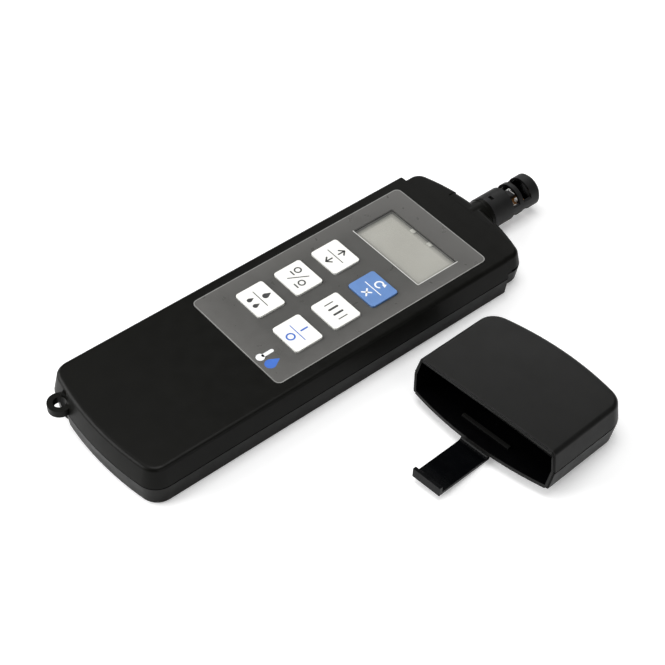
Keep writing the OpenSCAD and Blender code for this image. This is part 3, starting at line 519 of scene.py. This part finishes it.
def print_and_highlight_marks(name, shapes, place, top, thickness, material, body):
    """Thin raised ink, also used for lines of painted highlight. Shapes are in millimetres round
    place, top is the surface's height.
    """
    bm = bmesh.new()
    for shape in shapes:
        low, high = ([bm.verts.new(((x + place[0]) * MM, (y + place[1]) * MM, z * MM))
                      for x, y in shape] for z in (top - MARK_SINK, top + thickness))
        bm.faces.new(high)
        bm.faces.new(low[::-1])
        for i in range(len(shape)):
            j = (i + 1) % len(shape)
            bm.faces.new((low[i], low[j], high[j], high[i]))
    bmesh.ops.recalc_face_normals(bm, faces=bm.faces)
    return new_piece(name, bm, [material], body)


def key_marks():
    """Plain signs on the six keys, two rows and a line on most of them."""
    line = stroke(-3.3, 0, 3.3, 0, 0.28)
    up = (stroke(0, -1.1, 0, 1.1, 0.5) + stroke(0, 1.1, -1.2, -0.1, 0.5)
          + stroke(0, 1.1, 1.2, -0.1, 0.5))
    down = [[(x, -y) for x, y in shape[::-1]] for shape in up]
    cross = stroke(-0.95, -0.95, 0.95, 0.95, 0.5) + stroke(-0.95, 0.95, 0.95, -0.95, 0.5)
    arrow = [[(0.45, 0.55), (1.9, 0.35), (1.3, 1.6)]]
    degree, bar = ring(0, 0, 0.95, 0.45), stroke(-0.8, 0, 0.8, 0, 0.45)
    small_drop = drop(0, 0, 0.75, 2.3)
    signs = {
        "key_power": moved(stroke(0, -1.05, 0, 1.05, 0.55), 0, 2.3) + line
        + moved(ring(0, 0, 1.15, 0.5), 0, -2.4),
        "key_hold": [shape for x, width in ((-1.1, 0.7), (1.1, 0.7), (-3.1, 0.35), (3.1, 0.35))
                     for shape in stroke(x, -1.4, x, 1.4, width)],
        "key_clear": moved(ring(0, 0, 1.2, 0.5, 50, 330) + arrow, 0, 2.35) + line
        + moved(cross, 0, -2.35),
        "key_dew_point": moved(drop(0, 0, 0.95, 2.9), 0, 1.85) + line
        + moved(small_drop, -1.35, -2.75) + moved(small_drop, 1.35, -2.75),
        "key_units": moved(degree, -2.3, 1.7) + moved(bar, -2.3, -0.3)
        + stroke(-1.5, -2.6, 1.5, 2.6, 0.35) + moved(degree, 2.3, -0.6) + moved(bar, 2.3, -2.6),
        "key_max_min": moved(up, 0, 2.3) + line + moved(down, 0, -2.3),
    }
    inks = {"key_power": "blue_ink", "key_clear": "white_ink"}
    for node, shapes in signs.items():
        low, high = (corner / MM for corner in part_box(node))
        scaled = [[(SIGN_SCALE * x, SIGN_SCALE * y) for x, y in shape] for shape in shapes]
        print_and_highlight_marks(node + "_sign", scaled, ((low.x + high.x) / 2, (low.y + high.y) / 2), high.z,
                    KEY_INK, inks.get(node, "dark_ink"), BODY_OF[node])


def film_marks():
    """A thermometer and a drop low on the film, a painted highlight round the film's edge, and a
    painted glint along the window's two near edges.
    """
    low, high = (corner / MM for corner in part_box("keypad_film"))
    top = high.z
    stem = stroke(0, 0.9, 0, 4.2, 1.3) + disc(0, -0.3, 1.45)
    print_and_highlight_marks("film_sign_stem", moved(stem, -2.1, -1.9), FILM_SIGN_PLACE, top, FILM_INK,
                "white_ink", "meter")
    print_and_highlight_marks("film_sign_drop", moved(drop(0, 0, 1.9, 5.6), 2.0, -1.4), FILM_SIGN_PLACE, top,
                FILM_INK, "blue_ink", "meter")
    x, y0, y1 = high.x - MARGIN_INSET, low.y + MARGIN_INSET, high.y - MARGIN_INSET
    r = MARGIN_CORNER
    outer, inner = [], []
    for cx, cy, start in ((x - r, y1 - r, 0), (r - x, y1 - r, 90),
                          (r - x, y0 + r, 180), (x - r, y0 + r, 270)):
        for i in range(CORNER_STEPS + 1):
            angle = math.radians(start + 90 * i / CORNER_STEPS)
            outer.append(around(cx, cy, r, angle))
            inner.append(around(cx, cy, r - MARGIN_WIDTH, angle))
    margin = [[outer[i - 1], outer[i], inner[i], inner[i - 1]] for i in range(len(outer))]
    # Painted highlight: a pale line round the film's edge, where the edge catches the light.
    print_and_highlight_marks("film_margin", margin, (0, 0), top, MARGIN_HIGHLIGHT_THICKNESS, "painted_film_edge_highlight", "meter")
    # Painted glint: pale lines along the window's two near edges, where its edge catches the light.
    low, high = (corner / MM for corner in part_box("display_window"))
    glint = (stroke(low.x, low.y, high.x, low.y, GLINT_WIDTH)
             + stroke(high.x, low.y, high.x, high.y, GLINT_WIDTH))
    print_and_highlight_marks("painted_window_glint", glint, (0, 0), top, GLINT_THICKNESS, "painted_window_glint", "meter")


TRACKS, TRACK_FIRST, TRACK_PITCH, TRACK_HALF = 7, -1.8, 1.1, 0.2
TRACK_SPAN, TRACK_HEIGHT = (-6.5, -2.0), 0.05
PAD_ROWS, PAD_OFFSET, PAD_HALF, PAD_HEIGHT = (2.6, 4.9, -2.2), 1.3, 0.25, 0.08
CHIP_SINK = 0.1


def block(bm, x0, x1, y0, y1, z0, z1, index):
    """One box, in millimetres, with a material index."""
    made = bmesh.ops.create_cube(bm, size=1)["verts"]
    for v in made:
        v.co = Vector((x0 + (x1 - x0) * (v.co.x + 0.5), y0 + (y1 - y0) * (v.co.y + 0.5),
                       z0 + (z1 - z0) * (v.co.z + 0.5))) * MM
    for face in {f for v in made for f in v.link_faces}:
        face.material_index = index


def sensor_details():
    """Pads, tracks and chip parts on the sensor carrier, where the probe's windows show them.

    Places are in millimetres from the middle of the humidity sensor.
    """
    gold, ceramic, black = range(3)
    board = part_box("sensor_board")[1].z / MM
    low, high = (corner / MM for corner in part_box("humidity_sensor"))
    x, y, chip = (low.x + high.x) / 2, (low.y + high.y) / 2, high.z
    bm = bmesh.new()
    for i in range(TRACKS):
        middle = x + TRACK_FIRST + TRACK_PITCH * i
        block(bm, middle - TRACK_HALF, middle + TRACK_HALF, y + TRACK_SPAN[0], y + TRACK_SPAN[1],
              board, board + TRACK_HEIGHT, ceramic)
    for row in PAD_ROWS:
        for side in (y - PAD_OFFSET, y + PAD_OFFSET):
            block(bm, x + row - PAD_HALF, x + row + PAD_HALF, side - PAD_HALF, side + PAD_HALF,
                  board, board + PAD_HEIGHT, gold)
    for x0, x1, y0, y1, height in (
            (-1.2, 1.5, 1.0, 1.25, 0.05), (-1.2, 1.5, 0.25, 0.45, 0.05), (-1.2, -0.95, 0.3, 1.2, 0.05),
            (1.25, 1.5, 0.3, 1.2, 0.05), (-1.7, -1.45, -0.6, 0.9, 0.05),
            (-1.65, -1.2, -0.35, 0.1, 0.06)):
        block(bm, x + x0, x + x1, y + y0, y + y1, chip - CHIP_SINK, chip + height, ceramic)
    block(bm, x + 5.0, x + 5.4, y - 2.5, y - 1.9, board, board + 0.5, ceramic)
    block(bm, x + 4.2, x + 4.7, y - 1.0, y + 0.9, board, board + 0.6, black)
    new_piece("sensor_board_details", bm, ["gold_board", "white_ceramic", "chip_black"],
              "meter")


# Stage, lights and camera

FLOOR_HALF = 3.0
FLOOR_LIFT = 0.3
WORLD_LIGHT = 0.02
LAMP_TARGET = Vector((0.02, 0.01, 0.0))
LAMP_DISTANCE = 0.95
LAMP_LEVEL = 1.12
LAMPS = (  # name, azimuth, elevation, size and power
    ("overhead", 0, 90, (0.6, 0.6), 5.2),
    ("front_left", 225, 27, (1.0, 0.6), 10.0),
    ("right", 0, 25, (0.8, 0.4), 2.0),
    ("back_left", 180, 60, (0.6, 0.6), 1.0),
    ("back_low", 126, 28, (0.5, 0.3), 0.9),
)
CAMERA_AZIMUTH = math.radians(49.26)
CAMERA_ELEVATION = math.radians(46.93)
CAMERA_ROLL = math.radians(1.47)
CAMERA_TARGET = Vector((5.01, 16.89, 0)) * MM
CAMERA_DISTANCE = 527.8 * MM
CAMERA_LENS = 87.84


def add_stage():
    """Pale floor that renders white and keeps the object's soft shadow."""
    bm = bmesh.new()
    bmesh.ops.create_grid(bm, x_segments=1, y_segments=1, size=FLOOR_HALF)
    mesh = bpy.data.meshes.new("floor")
    bm.to_mesh(mesh)
    bm.free()
    floor = bpy.data.objects.new("floor", mesh)
    COLLECTION.objects.link(floor)
    surface = Shader("floor", (0.88, 0.88, 0.88), 0.6, specular_ior_level=0.1,
                     emission_color=(1, 1, 1, 1))
    path = surface.nodes.new("ShaderNodeLightPath").outputs
    seen = surface.math("MAXIMUM", path["Is Camera Ray"], path["Is Transmission Ray"])
    surface.links.new(surface.math("MULTIPLY", seen, FLOOR_LIFT),
                      surface.shader.inputs["Emission Strength"])
    mesh.materials.append(surface.material)


def add_world():
    """White where the camera looks past the floor, and nearly no light on the object."""
    world = bpy.data.worlds.new("studio")
    bpy.context.scene.world = world
    world.use_nodes = True
    nodes, links = world.node_tree.nodes, world.node_tree.links
    background = nodes["Background"]
    background.inputs["Color"].default_value = (1, 1, 1, 1)
    strength = nodes.new("ShaderNodeMapRange")
    strength.inputs["To Min"].default_value = WORLD_LIGHT
    strength.inputs["To Max"].default_value = 1.0
    links.new(nodes.new("ShaderNodeLightPath").outputs["Is Camera Ray"], strength.inputs["Value"])
    links.new(strength.outputs["Result"], background.inputs["Strength"])


def direction(azimuth, elevation):
    """Unit vector, azimuth turning from the X axis."""
    return Vector((math.cos(azimuth) * math.cos(elevation),
                   math.sin(azimuth) * math.cos(elevation), math.sin(elevation)))


def add_lights():
    """Soft boxes round the table."""
    for name, azimuth, elevation, size, power in LAMPS:
        data = bpy.data.lights.new(name, "AREA")
        data.shape = "RECTANGLE"
        data.size, data.size_y = size
        data.energy = power * LAMP_LEVEL
        lamp = bpy.data.objects.new(name, data)
        COLLECTION.objects.link(lamp)
        away = direction(math.radians(azimuth), math.radians(elevation))
        place = LAMP_TARGET + away * LAMP_DISTANCE
        lamp.location = place
        lamp.rotation_euler = (LAMP_TARGET - place).to_track_quat("-Z", "Y").to_euler()


def add_camera():
    """Camera at the photograph's angle, azimuth turning from the front, with a small roll."""
    back = direction(CAMERA_AZIMUTH - math.pi / 2, CAMERA_ELEVATION)
    right = (-back).cross(Vector((0, 0, 1))).normalized()
    up = right.cross(-back)
    turned_right = right * math.cos(CAMERA_ROLL) + up * math.sin(CAMERA_ROLL)
    turned_up = up * math.cos(CAMERA_ROLL) - right * math.sin(CAMERA_ROLL)
    data = bpy.data.cameras.new("camera")
    data.sensor_width = 36
    data.lens = CAMERA_LENS
    data.clip_start = 0.01
    camera = bpy.data.objects.new("camera", data)
    COLLECTION.objects.link(camera)
    turn = Matrix((turned_right, turned_up, back)).transposed().to_4x4()
    camera.matrix_world = Matrix.Translation(CAMERA_TARGET + back * CAMERA_DISTANCE) @ turn
    bpy.context.scene.camera = camera


finish_nodes()
key_marks()
film_marks()
sensor_details()
add_stage()
add_world()
add_lights()
add_camera()
bpy.context.scene.view_settings.view_transform = "Standard"
